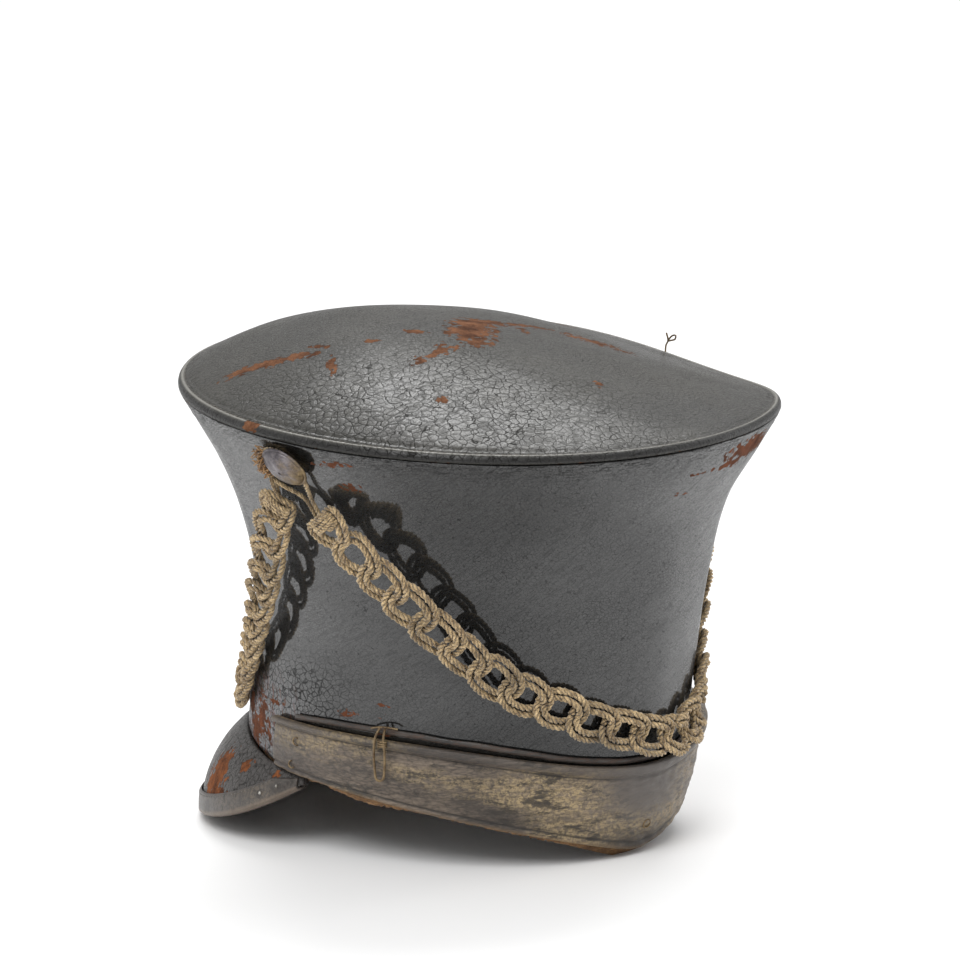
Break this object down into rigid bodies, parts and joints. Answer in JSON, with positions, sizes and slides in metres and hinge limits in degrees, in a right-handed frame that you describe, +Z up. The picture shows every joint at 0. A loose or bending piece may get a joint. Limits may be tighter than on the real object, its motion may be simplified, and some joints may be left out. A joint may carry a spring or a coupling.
{
  "type": "bell crown cap",
  "caption": "Bell-crowned cap of black leather with a domed top, a peak, a folded neck band, corded festoon plaits, a side button and a plain front plate.",
  "frame": {"origin": "under the middle of the cap's bounding box, on the ground it stands on", "axes": "+Z up; the peak points to -Y, the neck is towards +Y, and the wearer's left side is +X"},
  "size_m": [0.2598, 0.2744, 0.2235],
  "materials": {
    "patent_leather": "old black patent leather, cracked",
    "worn_leather": "leather with its black worn off",
    "raw_leather": "bare tan leather",
    "black_leather": "dull black leather",
    "cord": "twisted worsted cord",
    "black_metal": "blackened metal",
    "button_metal": "tarnished pewter with traces of gilt",
    "rusty_wire": "tarnished wire"
  },
  "bodies": {
    "root": {"crown_body": "patent_leather", "crown_top": "patent_leather", "neck_band": "worn_leather", "base_strap": "black_leather", "sweatband": "raw_leather", "peak": "patent_leather", "peak_binding": "worn_leather", "rear_plait": "cord", "front_plait": "cord", "front_plate": "black_metal", "side_button": "button_metal", "bare_wire_right": "rusty_wire", "hanger_cord_left": "cord", "hanger_cord_right": "cord", "front_loop_left": "cord", "front_loop_right": "cord", "flap_hook_left": "rusty_wire", "flap_hook_right": "rusty_wire"}
  },
  "joints": []
}
